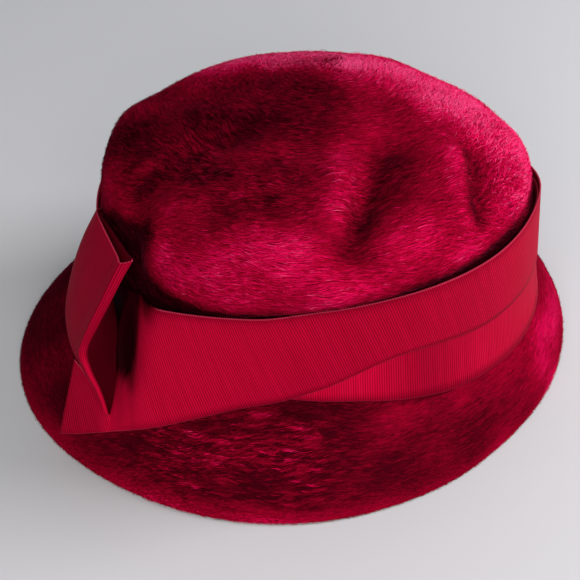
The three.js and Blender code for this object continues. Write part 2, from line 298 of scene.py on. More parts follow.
def headPoints(turn, reach, height):  # places this far out from the oval, at this turn and height
    c, s = np.cos(np.radians(turn)), np.sin(np.radians(turn))
    bend = 2 / headOval["power"]
    x = (headOval["halfLength"] + reach) * np.sign(c) * np.abs(c) ** bend
    y = (headOval["halfWidth"] + reach) * np.sign(s) * np.abs(s) ** bend
    return np.stack([x, y, height + 0 * x], axis=-1) * mm + headMiddle


def ovalPlace(points):  # how far back each point lies, -1 to 1, and its turn about the head's middle
    back = (points[:, 0] - headMiddle[0]) / headOval["halfLength"]
    across = (points[:, 1] - headMiddle[1]) / headOval["halfWidth"]
    return back, np.degrees(np.arctan2(across, back))


def nearSum(points, places, key):  # a value summed over soft-edged lines of spots
    total = np.zeros(len(points))
    for place in places:
        spots = fromPattern(place["spots"])
        away = np.linalg.norm(points - spots[0], axis=1)
        for start, end in zip(spots[:-1], spots[1:]):
            line = end - start
            share = np.clip((points - start) @ line / (line @ line), 0, 1)
            away = np.minimum(away, np.linalg.norm(points - start - share[:, None] * line, axis=1))
        total += place[key] * np.exp(-(away / (place["wide"] * mm)) ** 2)
    return total


# mm: dents push the felt to or from a point in the hollow, this far above the floor (heart), and up to
# held it lies still, because the band holds it
crownValues = {"levels": 2, "lump": 0.5, "lumpSize": 38, "heart": 40, "held": 92, "freeOver": 20}
# finer dents than the model's: out is how far the felt stands out, wide how far it fades, in mm
crownDents = [
    {"spots": [(49, -12, 125), (51, -42, 121), (52, -72, 115)], "wide": 7, "out": -2.8},
    {"spots": [(50, -46, 120), (53, -60, 117)], "wide": 7, "out": -2.0},
    {"spots": [(61, -10, 124), (69, -52, 121)], "wide": 11, "out": -1.2},
    {"spots": [(38, -30, 126), (44, -70, 118)], "wide": 8, "out": 1.8},
    {"spots": [(84, -7, 125), (90, -35, 122), (95, -47, 117)], "wide": 5, "out": 1.4},
    {"spots": [(92, -6, 120), (100, -37, 115)], "wide": 6, "out": -2.2},
    {"spots": [(-38, -35, 115), (-25, -29, 117), (-10, -22, 120), (6, -17, 123)], "wide": 8, "out": 2.8},
    {"spots": [(-54, -45, 107), (-43, -38, 113), (-29, -18, 120), (-14, -9, 124)], "wide": 4.5, "out": -1.5},
    {"spots": [(-72, -10, 106), (-54, 14, 117)], "wide": 18, "out": -2.0},
    {"spots": [(-47, -31, 119)], "wide": 6, "out": 1.0},
    {"spots": [(-37, 23, 123), (8, 4, 128)], "wide": 20, "out": -2.0},
    {"spots": [(-66, -46, 90), (-50, -60, 93)], "wide": 11, "out": -5.0},
]

# painted shade and painted highlight on the nap: darker in the dents, grooves and the top left, lighter on
# the ridges, the top edge and the right shoulder, where light falls
crownPaintedLight = [
    {"spots": [(-62, -4, 116), (-20, -8, 122), (8, 4, 126)], "wide": 31, "tone": -0.34},
    {"spots": [(-26, 30, 123), (2, 33, 125)], "wide": 15, "tone": -0.32},
    {"spots": [(6, 4, 127), (30, 0, 126)], "wide": 14, "tone": -0.09},
    {"spots": [(-64, -6, 114), (-52, -10, 118), (-40, -18, 121)], "wide": 15, "tone": -0.3},
    {"spots": [(-42, 25, 121)], "wide": 9, "tone": 0.08},
    {"spots": [(20, 36, 126), (26, 32, 126)], "wide": 10, "tone": 0.1},
    {"spots": [(-52, -42, 109), (-43, -36, 114), (-29, -18, 120), (-10, -7, 125)], "wide": 5, "tone": -0.36},
    {"spots": [(-26, -34, 118), (-6, -48, 122), (30, -46, 124)], "wide": 16, "tone": -0.23},
    {"spots": [(-2, -68, 118), (22, -64, 122)], "wide": 8, "tone": -0.1},
    {"spots": [(57, -18, 123), (55, -34, 121), (54, -48, 119), (52, -61, 117), (50, -73, 115)],
     "wide": 7, "tone": -0.3},
    {"spots": [(64, -17, 124), (64, -32, 123), (60, -46, 120)], "wide": 11, "tone": -0.26},
    {"spots": [(56, -50, 118), (54, -62, 117)], "wide": 5, "tone": -0.14},
    {"spots": [(92, -4, 120), (98, -24, 117), (100, -37, 114)], "wide": 8, "tone": -0.42},
    {"spots": [(34, -15, 125), (41, -49, 123), (44, -68, 118)], "wide": 8, "tone": 0.3},
    {"spots": [(84, -7, 125), (90, -35, 122), (95, -47, 117)], "wide": 4, "tone": 0.24},
    {"spots": [(-50, -32, 116)], "wide": 4.5, "tone": 0.2},
    {"spots": [(-4, -84, 110), (40, -91, 103)], "wide": 15, "tone": 0.18},
    {"spots": [(2, -80, 115), (14, -78, 117), (31, -75, 119)], "wide": 9, "tone": 0.09},
    {"spots": [(-24, -66, 112), (-10, -72, 115)], "wide": 10, "tone": -0.06},
    {"spots": [(-3, -62, 120), (12, -58, 123)], "wide": 7, "tone": -0.24},
    {"spots": [(39, -71, 120), (47, -72, 117)], "wide": 6, "tone": -0.16},
    {"spots": [(-61, -41, 105), (-54, -47, 105)], "wide": 6, "tone": -0.12},
    {"spots": [(-61, -34, 108), (-57, -30, 113)], "wide": 7, "tone": -0.1},
    {"spots": [(0, 3, 127), (8, 4, 127)], "wide": 9, "tone": -0.14},
    {"spots": [(49, 20, 126)], "wide": 8, "tone": -0.06},
    {"spots": [(-46, -66, 90), (-42, -73, 86), (-34, -79, 90)], "wide": 7, "tone": -0.22},
    {"spots": [(-32, -73, 103)], "wide": 6, "tone": 0.14},
    {"spots": [(99, -52, 108), (104, -38, 108)], "wide": 7, "tone": 0.22},
    {"spots": [(66, -82, 106), (72, -69, 114)], "wide": 8, "tone": 0.13},
    {"spots": [(58, 2, 126), (52, 14, 126)], "wide": 9, "tone": -0.06},
    {"spots": [(106, -19, 115)], "wide": 6, "tone": -0.1},
    {"spots": [(-30, -77, 102)], "wide": 9, "tone": 0.12},
    {"spots": [(-30, 56, 116), (4, 60, 119), (50, 50, 122), (76, 31, 122)], "wide": 14, "tone": 0.34},
    {"spots": [(-12, 48, 122), (1, 49, 123), (24, 52, 122)], "wide": 7, "tone": 0.38},
    {"spots": [(-44, 28, 120), (-28, 42, 121)], "wide": 6, "tone": 0.12},
    {"spots": [(84, 24, 121), (97, 9, 119), (111, -14, 111)], "wide": 17, "tone": 0.26},
    {"spots": [(-40, 56, 112), (20, 70, 113), (60, 60, 114), (92, 38, 112), (112, 12, 105), (120, -6, 94)],
     "wide": 13, "tone": 0.34},
]
# painted shadow beside the loop, where hardly any light comes in
crownPaintedShadows = [
    {"spots": [(-67, -44, 91), (-60, -51, 92), (-54, -58, 95)], "wide": 5.5, "tone": -0.9},
    {"spots": [(-56, -57, 92), (-50, -61, 97), (-44, -64, 102)], "wide": 7, "tone": -0.8},
    {"spots": [(-60, -52, 84), (-53, -60, 82), (-52, -61, 74)], "wide": 6, "tone": -0.9},
]


def dentCrown(piece):
    points = vertexRows(piece.data, "co")
    outward = points - headMiddle - np.array([0, 0, crownValues["heart"] * mm])
    outward /= np.linalg.norm(outward, axis=1)[:, None]
    soft = np.clip((points[:, 2] - crownValues["held"] * mm) / (crownValues["freeOver"] * mm), 0, 1)
    lumps = soft * crownValues["lump"] * mm * waves(points, crownValues["lumpSize"] * mm, 5)
    setPoints(piece.data, points + outward * (nearSum(points, crownDents, "out") * mm + lumps)[:, None])


# mm and degrees: the rim stands out a little further at the front left
brimValues = {"levels": 2, "spread": 2.6, "spreadTurn": -125, "spreadHeight": 20}


def spreadBrim(piece):
    points = vertexRows(piece.data, "co")
    away = points - headMiddle
    turn = np.arctan2(away[:, 1], away[:, 0])
    near = np.clip(np.cos(turn - math.radians(brimValues["spreadTurn"])), 0, 1)
    low = np.clip(1 - points[:, 2] / (brimValues["spreadHeight"] * mm), 0, 1)
    points[:, 0] += brimValues["spread"] * mm * near * low * np.cos(turn)
    points[:, 1] += brimValues["spread"] * mm * near * low * np.sin(turn)
    setPoints(piece.data, points)


crownFelt = smoothCopy("crown", "crown_felt", feltMaterial, crownValues["levels"])
dentCrown(crownFelt)
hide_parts("crown")
brimFelt = smoothCopy("brim", "brim_felt", feltMaterial, brimValues["levels"])
spreadBrim(brimFelt)
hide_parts("brim")
print("felt made:", len(crownFelt.data.polygons), len(brimFelt.data.polygons), "faces")


# sizes in mm; a hair is drawn 0.2 mm wide, as wide as several real ones, so that these can cover the felt
# stand... hold where the nap stands up, ...Tone is how much of its own colour a hair has there, and
# ...Lean is how far the light on it turns from the felt's
furValues = {"length": 6.2, "lengths": (0.65, 1.25), "width": 0.2, "widths": (0.7, 1.3), "sink": 0.2,
             "lift": 0.4, "liftLeast": 0.8, "liftRuffled": 0.8, "kneeBack": 0.05, "kneePull": 0.35,
             "tipOut": 0.9, "roll": 0.3, "scatter": 0.08, "rim": 9, "rimShortest": 0.35, "floor": 0.1,
             "standScatter": 0.7, "standShorter": 0.6, "standLift": 0.3, "standTip": 0.6, "standVary": 0.8,
             "rootTone": 0.5, "kneeTone": 0.85, "lean": 0.06, "ruffleLean": 0.1, "standLean": 0.12,
             "pullLean": 1.5, "pullOver": 3, "rootLean": 0.15, "tipLean": 0.2,
             "strayShare": 0.08, "calmSize": 26, "tuftRadius": 105, "tuftRise": 1.5}
# the nap is brushed round the head's middle low down, and on top round a whorl this many mm towards
# the right side; down, wander and wave are turns off that way, in radians
brushing = {"whorl": 60, "from": 86, "to": 116, "down": -0.04, "wander": 0.14, "wanderSize": 42,
            "wave": 0.13, "waveSize": 10, "combed": (0.96, 0.28, 0)}
combs = [  # places where the nap is combed straight across instead
    {"spots": [(-48, -102, 15), (12, -108, 22)], "wide": 32, "by": 0.9},
    {"spots": [(-58, -46, 104), (-36, -60, 107)], "wide": 24, "by": 0.6},
]
# tone 0 is painted deep shadow and 1 painted pale sheen, with the dye's own shades between; a tuft shares a
# tone and a turn, and pulls its hairs together
crownNap = {"hairs": 95000, "tufts": 7000, "stretch": 1, "pull": 0.25, "tone": 0.41, "tuftTone": 0.1,
            "tuftTurn": 0.13, "hairTone": 0.12, "calm": 0.07, "darkest": 0.01, "palest": 0.96,
            "shadeLimit": 0.48, "paintedGlint": 0.26, "ruffle": 0.4, "from": 66, "heart": 60,
            "edgeShade": 0.75, "edgeReach": (4.4, 3.4)}
brimNap = {"hairs": 95000, "tufts": 5200, "stretch": 4.5, "pull": 0.22, "tone": 0.1, "tuftTone": 0.18,
           "tuftTurn": 0.1, "hairTone": 0.08, "calm": 0.06, "darkest": 0.06, "palest": 0.86, "paintedGlint": 0.22,
           "ruffle": 0.2, "rimRuffle": 0.25, "rimCalm": 10, "rimPaintedHighlight": 0.32, "rimWide": 4.5,
           "rimStand": 0.15, "standWide": 5, "upTo": 37.5, "faceUp": 0.8, "faceOver": 0.05}


def brushedWay(spots, normal):
    share = np.clip((spots[:, 2] / mm - brushing["from"]) / (brushing["to"] - brushing["from"]), 0, 1)
    away = spots - headMiddle
    away[:, 1] -= brushing["whorl"] * mm * share * share * (3 - 2 * share)
    around = np.stack([-away[:, 1], away[:, 0], np.zeros(len(spots))], axis=1)
    around /= np.linalg.norm(around, axis=1)[:, None] + 1e-9
    combed = np.clip(nearSum(spots, combs, "by"), 0, 1)[:, None]
    around = around * (1 - combed) + np.array(brushing["combed"]) * combed
    around -= normal * (around * normal).sum(axis=1)[:, None]
    around /= np.linalg.norm(around, axis=1)[:, None] + 1e-9
    turn = (-brushing["down"] + brushing["wander"] * waves(spots, brushing["wanderSize"] * mm, 11)
            + brushing["wave"] * waves(spots, brushing["waveSize"] * mm, 12))
    return around * np.cos(turn)[:, None] + np.cross(normal, around) * np.sin(turn)[:, None]


def tuftPlaces(spots, stretch):  # places in which a tuft is longer along the brim than across it
    away = spots - headMiddle
    if stretch == 1:
        return away
    turn = np.arctan2(away[:, 1], away[:, 0])
    radius = furValues["tuftRadius"] * mm / stretch
    rise = furValues["tuftRise"] * away[:, 2]
    return np.stack([radius * np.cos(turn), radius * np.sin(turn), rise], axis=1)


def feltSurface(felt, grows):  # the felt's triangles, with a running share of where hair can root
    mesh = felt.data
    mesh.calc_loop_triangles()
    points, normals = vertexRows(mesh, "co"), vertexRows(mesh, "normal")
    corners = np.empty(len(mesh.loop_triangles) * 3, dtype=np.int64)
    mesh.loop_triangles.foreach_get("vertices", corners)
    corners = corners.reshape(-1, 3)
    a, b, c = (points[corners[:, corner]] for corner in range(3))
    flat = np.cross(b - a, c - a)
    areas = np.linalg.norm(flat, axis=1) / 2
    areas = areas * grows((a + b + c) / 3, flat / (2 * areas[:, None] + 1e-12))
    return points, normals, corners, np.cumsum(areas) / areas.sum()


def scatterRoots(surface, count, rng):  # places spread evenly over the felt, with their normals
    points, normals, corners, share = surface
    picked = np.searchsorted(share, rng.random(count))
    r1, r2 = np.sqrt(rng.random(count)), rng.random(count)
    weights = np.stack([1 - r1, r1 * (1 - r2), r1 * r2], axis=1)[:, :, None]
    trio = corners[picked]
    normal = (normals[trio] * weights).sum(axis=1)
    return (points[trio] * weights).sum(axis=1), normal / np.linalg.norm(normal, axis=1)[:, None]


def nearestTufts(spots, tuftSpots, stretch):
    tree = KDTree(len(tuftSpots))
    for i, spot in enumerate(tuftPlaces(tuftSpots, stretch)):
        tree.insert(spot, i)
    tree.balance()
    return np.array([tree.find(spot)[1] for spot in tuftPlaces(spots, stretch)])


def hairWays(spots, normal, tuftTurn, stand, rng):  # the way each hair lies, along the felt
    way = brushedWay(spots, normal)
    way = way * np.cos(tuftTurn) + np.cross(normal, way) * np.sin(tuftTurn)
    way += (furValues["scatter"] + furValues["standScatter"] * stand) * rng.normal(size=(len(spots), 3))
    way -= normal * (way * normal).sum(axis=1)[:, None]
    return way / np.linalg.norm(way, axis=1)[:, None]


def hairCorners(middle, normal, way, pull, ruffle, stand, rng):  # root, the knee's two sides and tip
    values, hairs = furValues, len(middle)
    trim = np.clip(middle[:, 2] / (values["rim"] * mm), values["rimShortest"], 1)  # clipped short at the rim
    length = (values["length"] * mm * (rng.uniform(*values["lengths"], hairs) * trim)[:, None]
              * (1 - values["standShorter"] * stand))
    ruffled = values["liftLeast"] + values["liftRuffled"] * ruffle
    lift = values["lift"] * mm * (rng.gamma(3.0, 1 / 3.0, hairs) * ruffled)[:, None]
    lift += values["standLift"] * length * stand
    root = middle - way * length * 0.5
    knee = middle - way * length * values["kneeBack"] + pull * values["kneePull"] + normal * lift
    tip = middle + way * length * 0.5 + pull + normal * lift * (values["tipOut"] + values["standTip"] * stand)
    side = np.cross(way, normal)
    roll = values["roll"] * rng.normal(size=hairs)[:, None]
    side = side * np.cos(roll) + normal * np.sin(roll)
    half = side * values["width"] * mm * 0.5 * rng.uniform(*values["widths"], hairs)[:, None]
    low = root - normal * values["sink"] * mm
    spots = np.stack([low, knee + half, knee - half, tip], axis=1).reshape(-1, 3)
    spots[:, 2] = np.maximum(spots[:, 2], values["floor"] * mm)  # hairs at the rim lie on the floor
    return spots


def hairMesh(name, spots, tone):  # two triangles to a hair, with its tone and its run from root to tip as UV
    hairs = len(tone)
    first = np.arange(hairs) * 4
    order = np.stack([first, first + 1, first + 2, first + 2, first + 1, first + 3], axis=1).ravel()
    fur = bpy.data.meshes.new(name)
    fur.vertices.add(hairs * 4)
    fur.vertices.foreach_set("co", spots.ravel())
    fur.loops.add(hairs * 6)
    fur.loops.foreach_set("vertex_index", order)
    fur.polygons.add(hairs * 2)
    fur.polygons.foreach_set("loop_start", np.arange(hairs * 2) * 3)
    along = [furValues["rootTone"]] + [furValues["kneeTone"]] * 4 + [1.0]
    uv = np.stack([np.repeat(tone, 6), np.tile(along, hairs)], axis=1)
    fur.uv_layers.new(name="hair").data.foreach_set("uv", uv.ravel())
    fur.update(calc_edges=True)
    return fur


def growNap(name, felt, nap, grows, paintedLightAt, ruffleAt, standAt, seed):
    rng = np.random.default_rng(seed)
    surface = feltSurface(felt, grows)
    middle, normal = scatterRoots(surface, nap["hairs"], rng)
    tuftMiddle, _ = scatterRoots(surface, nap["tufts"], rng)
    tuftTone = nap["tuftTone"] * rng.normal(size=nap["tufts"])
    nearest = nearestTufts(middle, tuftMiddle, nap["stretch"])
    ruffle = ruffleAt(middle)
    stand = np.clip(standAt(middle), 0, 1)[:, None]

    tuftTurn = (nap["tuftTurn"] * rng.normal(size=nap["tufts"])[nearest] * ruffle)[:, None]
    way = hairWays(middle, normal, tuftTurn, stand, rng)
    pull = tuftMiddle[nearest] - middle
    pull -= normal * (pull * normal).sum(axis=1)[:, None] + way * (pull * way).sum(axis=1)[:, None]
    pull *= nap["pull"] * ruffle[:, None]
    spots = hairCorners(middle, normal, way, pull, ruffle, stand, rng)

    # painted glints: a few hairs are painted lighter, as if they catch the light more than the rest
    paintedGlint = nap["paintedGlint"] * ruffle * (rng.random(len(middle)) < furValues["strayShare"])
    tone = (nap["tone"] + tuftTone[nearest] * ruffle + paintedGlint
            + nap["hairTone"] * (1 + furValues["standVary"] * stand[:, 0]) * rng.normal(size=len(middle))
            + nap["calm"] * waves(middle, furValues["calmSize"] * mm, 21) + paintedLightAt(middle))
    fur = hairMesh(name, spots, np.clip(tone, nap["darkest"], nap["palest"]))
    linkPiece(name, fur, napMaterial)

    # light falls on laid nap as on one soft surface, so each hair leans only a little from it
    values = furValues
    uneven = values["lean"] + values["ruffleLean"] * ruffle[:, None] + values["standLean"] * stand
    lean = normal + uneven * rng.normal(size=(len(middle), 3))
    lean = lean + values["pullLean"] * pull / (values["pullOver"] * mm)
    lean = np.stack([lean - values["rootLean"] * way, lean, lean, lean + values["tipLean"] * way], axis=1)
    lean = lean.reshape(-1, 3)
    lean /= np.linalg.norm(lean, axis=1)[:, None]
    fur.normals_split_custom_set_from_vertices(lean)


def crownGrows(centre, normal):
    out = centre - headMiddle - np.array([0, 0, crownNap["heart"] * mm])
    return ((out * normal).sum(axis=1) > 0) & (centre[:, 2] > crownNap["from"] * mm)


def crownPaintedLightTone(spots):  # painted light and shade on the nap, with painted shade on the fur that hangs over the band's edge, where it lies in its own shade
    back, turn = ovalPlace(spots)
    above = spots[:, 2] / mm - aroundAt(wrapTop, turn)
    shade = nearSum(spots, crownPaintedLight, "tone")
    limit = crownNap["shadeLimit"]
    shade = np.where(shade < 0, limit * np.tanh(shade / limit), shade)
    reach = np.interp(back, (-0.4, 0.4), crownNap["edgeReach"])
    paintedBandShade = crownNap["edgeShade"] * np.exp(-np.clip(above / reach, 0, None) ** 2)
    return shade + nearSum(spots, crownPaintedShadows, "tone") - paintedBandShade


crownRuffles = [{"spots": [(-30, -30, 117), (-6, -48, 122), (40, -44, 122)], "wide": 20, "by": 0.6}]
# along the top edge and the right shoulder the nap stands up, short and grainy
crownStands = [
    {"spots": [(-39, 33, 120), (-7, 48, 122), (15, 52, 123)], "wide": 12, "by": 0.6},
    {"spots": [(30, 50, 123), (49, 45, 123), (76, 31, 122), (97, 11, 119), (112, -13, 111)],
     "wide": 20, "by": 0.9},
]


def crownRuffle(spots):
    return crownNap["ruffle"] + nearSum(spots, crownRuffles, "by")


def crownStand(spots):
    return nearSum(spots, crownStands, "by")


def brimGrows(centre, normal):  # on the upper side, as far up as the ribbon's foot
    out = centre - headMiddle
    out[:, 2] = 0
    out /= np.linalg.norm(out, axis=1)[:, None]
    out[:, 2] = brimNap["faceUp"]
    return ((out * normal).sum(axis=1) > brimNap["faceOver"]) & (centre[:, 2] < brimNap["upTo"] * mm)


# the brim's front left is brushed up in little tufts; the shades below are painted shade and painted
# highlight: its left side darker, its right side and the rim lighter
brimRuffles = [{"spots": [(-20, -112, 16), (30, -108, 21)], "wide": 24, "by": 1.1}]
brimPaintedLight = [
    {"spots": [(-96, -64, 16), (-66, -94, 18)], "wide": 22, "tone": 0.07},
    {"spots": [(-124, -30, 10), (-126, 10, 8)], "wide": 20, "tone": -0.12},
    {"spots": [(-30, -123, 1), (50, -127, 1)], "wide": 6, "tone": 0.2},
    {"spots": [(-33, -117, 9), (4, -123, 9), (22, -120, 12)], "wide": 9, "tone": -0.06},
    {"spots": [(-20, -112, 16), (34, -104, 24)], "wide": 18, "tone": 0.02},
    {"spots": [(46, -106, 20), (54, -108, 10)], "wide": 9, "tone": -0.06},
    {"spots": [(70, -92, 26), (100, -60, 32)], "wide": 20, "tone": 0.05},
    {"spots": [(131, -12, 14), (130, 7, 18), (127, 38, 16)], "wide": 15, "tone": 0.4},
    {"spots": [(128, 4, 20), (122, 50, 16), (104, 84, 14)], "wide": 24, "tone": 0.12},
    {"spots": [(116, -58, 8), (124, -42, 9), (130, -20, 11)], "wide": 9, "tone": 0.14},
    {"spots": [(110, -42, 30), (122, -13, 30)], "wide": 14, "tone": 0.2},
    {"spots": [(125, -2, 28), (124, -20, 27)], "wide": 8, "tone": 0.05},
    {"spots": [(78, -78, 31), (94, -62, 32)], "wide": 8, "tone": 0.14},
]


def brimPaintedLightTone(spots):  # painted highlight along the rim, where it is brushed up and catches the light
    paintedRimHighlight = brimNap["rimPaintedHighlight"] * np.exp(-(spots[:, 2] / (brimNap["rimWide"] * mm)) ** 2)
    return paintedRimHighlight + nearSum(spots, brimPaintedLight, "tone")


def brimRuffle(spots):
    calmer = np.clip(spots[:, 2] / (brimNap["rimCalm"] * mm), brimNap["rimRuffle"], 1)
    return (brimNap["ruffle"] + nearSum(spots, brimRuffles, "by")) * calmer


def brimStand(spots):
    return brimNap["rimStand"] * np.exp(-(spots[:, 2] / (brimNap["standWide"] * mm)) ** 2)


for part in (1, 2):
    growNap(f"crown_nap_{part}", crownFelt, crownNap, crownGrows, crownPaintedLightTone, crownRuffle, crownStand,
            40 + part)
    growNap(f"brim_nap_{part}", brimFelt, brimNap, brimGrows, brimPaintedLightTone, brimRuffle, brimStand,
            50 + part)
print("nap grown")


# mm, but the ribs' lean is mm along for each mm across; the painted shade under the crown's fold fades over
# shadeReach, and the painted light and shade on any spot stays between the lightest and the deepest bound
ribbonValues = {"thick": 0.7, "lean": 0.3, "shadeReach": 2.9, "paintedLight": -0.3, "deepest": 0.99}
# painted shadow in the narrow place between the loop and the wrap's edge, where hardly any light comes
ribbonPaintedShadows = [
    {"spots": [(-58, -70, 86), (-54, -76, 64), (-53, -86, 48)], "wide": 10, "paintedShade": 0.95},
    {"spots": [(-60, -50, 82), (-62, -54, 62), (-60, -56, 50), (-67, -47, 38)], "wide": 15, "paintedShade": 1.3},
    {"spots": [(-43, -86, 84), (-38, -89, 82)], "wide": 6.5, "paintedShade": 0.97},
    {"spots": [(-48, -94, 52), (-47.5, -96, 42)], "wide": 3.5, "paintedShade": 0.95},
]


def curveThrough(spots, places):  # a curve through the rows of a table, at places from 0 to 1
    p = np.asarray(spots, float)
    rows = len(p)
    p = np.vstack([2 * p[0] - p[1], p, 2 * p[-1] - p[-2]])
    curve = []
    for place in places:
        row = min(int(place * (rows - 1)), rows - 2)
        share = place * (rows - 1) - row
        a, b, c, d = p[row:row + 4]
        ab, bc, cd = (max(np.linalg.norm(q) ** 0.5, 1e-6) for q in (b - a, c - b, d - c))
        leave = ((b - a) / ab - (c - a) / (ab + bc) + (c - b) / bc) * bc
        arrive = ((c - b) / bc - (d - b) / (bc + cd) + (d - c) / cd) * bc
        curve.append(b + leave * share + (3 * c - 3 * b - 2 * leave - arrive) * share ** 2
                     + (2 * b - 2 * c + leave + arrive) * share ** 3)
    return np.array(curve)


def foldDepth(points, places, deep, folds, paintedShadeUnderCrown):  # painted shade: 0 in the light, 1 where no light comes
    _, turn = ovalPlace(points)
    below = np.clip(aroundAt(wrapTop, turn) - points[:, 2] / mm, 0, None)
    paintedEdgeShade = paintedShadeUnderCrown * np.exp(-(below / ribbonValues["shadeReach"]) ** 2)
    shadow = np.clip(nearSum(points, folds, "paintedShade") + paintedEdgeShade, 0, 1)
    paintedShade = np.array([deep[place] for place in places]) * (1 - shadow) + shadow
    return np.clip(paintedShade, ribbonValues["paintedLight"], ribbonValues["deepest"])


def clothSheet(name, spots, lean, folds, paintedShadeUnderCrown, deep):  # a ribbon through a grid of spots
    columns, rows = spots.shape[0] - 1, spots.shape[1] - 1
    centre = spots[:, rows // 2]
    run = np.concatenate([[0], np.cumsum(np.linalg.norm(np.diff(centre, axis=0), axis=1))])
    rise = np.concatenate([np.zeros((columns + 1, 1)),
                           np.cumsum(np.linalg.norm(np.diff(spots, axis=1), axis=2), axis=1)], axis=1)
    bm = bmesh.new()
    bmesh.ops.create_grid(bm, x_segments=columns, y_segments=rows, size=0.5)
    layer = bm.loops.layers.uv.new("ribbon")
    for face in bm.faces:
        for loop in face.loops:
            i = round((loop.vert.co.x + 0.5) * columns)
            j = round((loop.vert.co.y + 0.5) * rows)
            loop[layer].uv = (run[i] + lean * rise[i, j], rise[i, j])
    places = [(round((vert.co.x + 0.5) * columns), round((vert.co.y + 0.5) * rows)) for vert in bm.verts]
    for vert, place in zip(bm.verts, places):
        vert.co = spots[place]
    mesh = bpy.data.meshes.new(name)
    bm.to_mesh(mesh)
    bm.free()
    # deep is each spot's painted shade, a little under 0 for painted light
    deep = np.broadcast_to(deep, spots.shape[:2])
    paintedShade = foldDepth(vertexRows(mesh, "co"), places, deep, folds, paintedShadeUnderCrown)
    mesh.attributes.new("paintedShade", "FLOAT", "POINT").data.foreach_set("value", paintedShade)
    # the lower edge's paleness and painted highlight are drawn half as wide, because it lies away from the
    # light
    fromEdge = [min(2 * rise[place], rise[place[0], -1] - rise[place]) for place in places]
    mesh.attributes.new("fromEdge", "FLOAT", "POINT").data.foreach_set("value", fromEdge)
    piece = linkPiece(name, mesh, ribbonMaterial)
    wall = piece.modifiers.new("thickness", "SOLIDIFY")
    wall.thickness = ribbonValues["thick"] * mm
    wall.offset = 0
    wall.use_even_offset = True
    finishedMesh(piece)
    quads = spots[1:, 1:] - spots[:-1, :-1], spots[:-1, 1:] - spots[1:, :-1]
    area = float(np.linalg.norm(np.cross(*quads), axis=2).sum() / 2)
    return piece, float(run[-1]), area


def between(foot, head, rows):
    share = np.linspace(0, 1, rows + 1)[None, :, None]
    return foot[:, None] * (1 - share) + head[:, None] * share


def patternX(spots):  # mm behind the pattern's zero
    return (spots[..., 0] - patternZero[0]) / mm


def onLeft(spots):  # the side where the loop stands
    return spots[..., 1] < headMiddle[1]


# ring round the foot of the crown; at the back its foot flares out and hangs over the brim
# painted light and shade: how much it stands out to the light, more in front, and painted shade where the
# wrap's edge shades it
baseValues = {"columns": 360, "rows": 10, "foot": 37, "underFold": 3, "reach": 0.8,
              "flare": 2.2, "drop": 2.6, "flareFrom": 55, "flareOver": 35,
              "paintedLight": -0.08, "frontPaintedLight": -0.2, "frontTo": 85, "frontOver": 30,
              "seamPaintedShade": 0.3, "seamAt": 82, "seamWide": 14, "paintedShadeUnderCrown": 0.8}


def baseSheet():
    values = baseValues
    turns = np.linspace(0, 360, values["columns"] + 1)
    oval = headPoints(turns, 0, 0)
    x = patternX(oval)
    flare = np.clip((x - values["flareFrom"]) / values["flareOver"], 0, 1)
    foot = headPoints(turns, values["reach"], values["foot"] - values["drop"] * flare)
    head = headPoints(turns, values["reach"], aroundAt(bandTop, turns) - values["underFold"])
    base = between(foot, head, values["rows"])
    outward = headPoints(turns, 1, 0) - oval
    low = (1 - np.linspace(0, 1, values["rows"] + 1)) ** 4
    base += values["flare"] * outward[:, None] * (flare[:, None] * low)[..., None]
    front = values["frontPaintedLight"] * np.clip((values["frontTo"] - x) / values["frontOver"], 0, 1)
    paintedLight = values["paintedLight"] + front * onLeft(foot)
    paintedLight += values["seamPaintedShade"] * np.exp(-((x - values["seamAt"]) / values["seamWide"]) ** 2) * onLeft(foot)
    return clothSheet("band_base_ribbon", base, 0, ribbonPaintedShadows, values["paintedShadeUnderCrown"], paintedLight[:, None])


baseRibbon, baseRun, baseArea = baseSheet()
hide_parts("band_base")

# slanting ribbon over it, with its loose end: foot and head of each row, in mm
# beside the loop its edge rolls in towards the head, along a slanting line down from edgeTop at topHeight
# from rollLit on they place painted shade where light is kept off it: in the rolled edge, on the tail's tip
# and, a little, along the side
wrapValues = {"turnColumns": 300, "tailColumns": 90, "rows": 12, "reach": 1.8,
              "startTurn": 202.5, "endTurn": -78.75, "paintedShadeUnderCrown": 0.45,
              "edgeTop": -40.5, "topHeight": 84, "slant": 0.15, "rollWide": 12, "rollFrom": 36,
              "rollOver": 15, "rollIn": 7,
              "rollLit": 2.6, "rollSoft": 3, "rollTip": 37, "tipOver": 5, "rollSpan": (-59, -20),
              "tailPaintedShade": 0.3, "tailFrom": -56, "tailOver": 6, "tailUnder": 47,
              "sidePaintedShade": 0.1, "sideFrom": 20, "sideOver": 40, "sideTo": 112, "sideFade": 12}
tailRows = [
    {"foot": (19, -88.6, 36), "head": (19, -91.2, 87.5)},
    {"foot": (4, -92.9, 33.8), "head": (5, -92.3, 86.4)},
    {"foot": (-14, -98.2, 29.6), "head": (-12, -92.3, 85.4)},
    {"foot": (-30, -101.6, 24.9), "head": (-27, -91, 84.6)},
    {"foot": (-43, -102, 20.5), "head": (-40.5, -88, 83.8)},
    {"foot": (-46, -102, 19.6), "head": (-46, -80, 81)},
    {"foot": (-49, -102, 18.7), "head": (-51.5, -76, 71)},
    {"foot": (-52, -101.8, 17.6), "head": (-57, -77, 52)},
    {"foot": (-54, -101.6, 17), "head": (-57, -88, 38)},
    {"foot": (-55.5, -101.5, 16.5), "head": (-56.5, -97, 27)},
    {"foot": (-58, -101.3, 15.5), "head": (-57.5, -98, 26)},
    {"foot": (-64, -100.8, 13.4), "head": (-62.5, -95.5, 35)},
    {"foot": (-73, -99.4, 9.6), "head": (-68, -92, 42)},
    {"foot": (-83, -96.8, 5.4), "head": (-73.5, -88.5, 46)},
]


